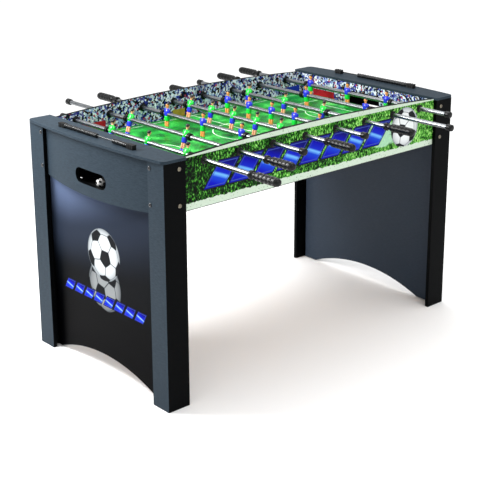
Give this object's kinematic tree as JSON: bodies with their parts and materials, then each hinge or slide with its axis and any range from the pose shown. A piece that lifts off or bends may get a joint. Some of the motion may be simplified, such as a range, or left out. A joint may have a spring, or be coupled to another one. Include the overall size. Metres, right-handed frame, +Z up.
{
  "type": "foosball table",
  "caption": "Free-standing foosball table on four corner legs, with sliding and turning rods that carry two teams of men, end caps with bead scorers and ball-return slots.",
  "frame": {"origin": "on the floor, under the middle of the whole footprint, handles included", "axes": "+X along the table towards its right end, +Y across it towards the far side, +Z up"},
  "size_m": [1.448, 1.3538, 0.8664],
  "materials": {
    "printed_wall": "satin",
    "printed_end": "satin",
    "grey_laminate": "satin",
    "black_laminate": "satin",
    "printed_panel": "satin",
    "printed_field": "satin",
    "bare_wood": "matte",
    "steel": "satin",
    "black_plastic": "matte",
    "bead_plastic": "gloss",
    "ball_plastic": "gloss",
    "rod_chrome": "polished",
    "green_men": "gloss",
    "blue_men": "gloss",
    "black_rubber": "matte"
  },
  "bodies": {
    "table": {"side_wall_near": "printed_wall", "side_wall_far": "printed_wall", "end_wall_left": "printed_end", "end_wall_right": "printed_end", "end_apron_left": "grey_laminate", "end_apron_right": "grey_laminate", "top_cap_left": "grey_laminate", "top_cap_right": "grey_laminate", "playfield": "printed_field", "playfield_battens": "bare_wood", "leg_near_left": "black_laminate", "leg_far_left": "black_laminate", "leg_near_right": "black_laminate", "leg_far_right": "black_laminate", "leg_panel_left": "printed_panel", "leg_panel_right": "printed_panel", "leg_bolts": "steel", "leg_bolt_nuts": "steel", "bearing_housings": "black_plastic", "bearing_nuts": "black_plastic", "goal_tray_left": "black_plastic", "goal_tray_right": "black_plastic", "scorer_rail_left": "black_plastic", "scorer_rail_right": "black_plastic"},
    "scorer_left_waiting": {"beads_left_waiting": "bead_plastic"},
    "scorer_left_scored": {"beads_left_scored": "bead_plastic"},
    "scorer_right": {"beads_right": "bead_plastic"},
    "ball": {"ball": "ball_plastic"},
    "rod_1_bearings": {"rod_1_bushes": "black_plastic"},
    "rod_1": {"rod_1_tube": "rod_chrome", "rod_1_men": "green_men", "rod_1_fittings": "black_rubber"},
    "rod_2_bearings": {"rod_2_bushes": "black_plastic"},
    "rod_2": {"rod_2_tube": "rod_chrome", "rod_2_men": "green_men", "rod_2_fittings": "black_rubber"},
    "rod_3_bearings": {"rod_3_bushes": "black_plastic"},
    "rod_3": {"rod_3_tube": "rod_chrome", "rod_3_men": "blue_men", "rod_3_fittings": "black_rubber"},
    "rod_4_bearings": {"rod_4_bushes": "black_plastic"},
    "rod_4": {"rod_4_tube": "rod_chrome", "rod_4_men": "green_men", "rod_4_fittings": "black_rubber"},
    "rod_5_bearings": {"rod_5_bushes": "black_plastic"},
    "rod_5": {"rod_5_tube": "rod_chrome", "rod_5_men": "blue_men", "rod_5_fittings": "black_rubber"},
    "rod_6_bearings": {"rod_6_bushes": "black_plastic"},
    "rod_6": {"rod_6_tube": "rod_chrome", "rod_6_men": "green_men", "rod_6_fittings": "black_rubber"},
    "rod_7_bearings": {"rod_7_bushes": "black_plastic"},
    "rod_7": {"rod_7_tube": "rod_chrome", "rod_7_men": "blue_men", "rod_7_fittings": "black_rubber"},
    "rod_8_bearings": {"rod_8_bushes": "black_plastic"},
    "rod_8": {"rod_8_tube": "rod_chrome", "rod_8_men": "blue_men", "rod_8_fittings": "black_rubber"}
  },
  "joints": [
    {"name": "rod_1_turn", "type": "hinge", "parent": "table", "child": "rod_1_bearings", "pos_m": [-0.525, 0.03733, 0.821], "axis": [0, 1, 0], "continuous": true},
    {"name": "rod_1_slide", "type": "slide", "parent": "rod_1_bearings", "child": "rod_1", "axis": [0, 1, 0], "range_m": [-0.03354, 0.18286]},
    {"name": "rod_2_turn", "type": "hinge", "parent": "table", "child": "rod_2_bearings", "pos_m": [-0.375, 0.03733, 0.821], "axis": [0, 1, 0], "continuous": true},
    {"name": "rod_2_slide", "type": "slide", "parent": "rod_2_bearings", "child": "rod_2", "axis": [0, 1, 0], "range_m": [-0.2218, 0.0906]},
    {"name": "rod_3_turn", "type": "hinge", "parent": "table", "child": "rod_3_bearings", "pos_m": [-0.225, 0.03733, 0.821], "axis": [0, 1, 0], "continuous": true},
    {"name": "rod_3_slide", "type": "slide", "parent": "rod_3_bearings", "child": "rod_3", "axis": [0, 1, 0], "range_m": [-0.10279, 0.11361]},
    {"name": "rod_4_turn", "type": "hinge", "parent": "table", "child": "rod_4_bearings", "pos_m": [-0.075, 0.03733, 0.821], "axis": [0, 1, 0], "continuous": true},
    {"name": "rod_4_slide", "type": "slide", "parent": "rod_4_bearings", "child": "rod_4", "axis": [0, 1, 0], "range_m": [-0.07056, 0.06384]},
    {"name": "rod_5_turn", "type": "hinge", "parent": "table", "child": "rod_5_bearings", "pos_m": [0.075, 0.03733, 0.821], "axis": [0, 1, 0], "continuous": true},
    {"name": "rod_5_slide", "type": "slide", "parent": "rod_5_bearings", "child": "rod_5", "axis": [0, 1, 0], "range_m": [-0.02688, 0.10752]},
    {"name": "rod_6_turn", "type": "hinge", "parent": "table", "child": "rod_6_bearings", "pos_m": [0.225, 0.03733, 0.821], "axis": [0, 1, 0], "continuous": true},
    {"name": "rod_6_slide", "type": "slide", "parent": "rod_6_bearings", "child": "rod_6", "axis": [0, 1, 0], "range_m": [-0.15473, 0.06167]},
    {"name": "rod_7_turn", "type": "hinge", "parent": "table", "child": "rod_7_bearings", "pos_m": [0.375, 0.03733, 0.821], "axis": [0, 1, 0], "continuous": true},
    {"name": "rod_7_slide", "type": "slide", "parent": "rod_7_bearings", "child": "rod_7", "axis": [0, 1, 0], "range_m": [-0.0781, 0.2343]},
    {"name": "rod_8_turn", "type": "hinge", "parent": "table", "child": "rod_8_bearings", "pos_m": [0.525, 0.03733, 0.821], "axis": [0, 1, 0], "continuous": true},
    {"name": "rod_8_slide", "type": "slide", "parent": "rod_8_bearings", "child": "rod_8", "axis": [0, 1, 0], "range_m": [-0.1082, 0.1082]},
    {"name": "beads_left_waiting_slide", "type": "slide", "parent": "table", "child": "scorer_left_waiting", "axis": [0, 1, 0], "range_m": [-0.0896, 0]},
    {"name": "beads_left_scored_slide", "type": "slide", "parent": "table", "child": "scorer_left_scored", "axis": [0, 1, 0], "range_m": [0, 0.0896]},
    {"name": "beads_right_slide", "type": "slide", "parent": "table", "child": "scorer_right", "axis": [0, 1, 0], "range_m": [0, 0.0896]},
    {"name": "ball_roll", "type": "slide", "parent": "table", "child": "ball", "axis": [0, 1, 0], "range_m": [-0.0856, 0.0936]}
  ]
}
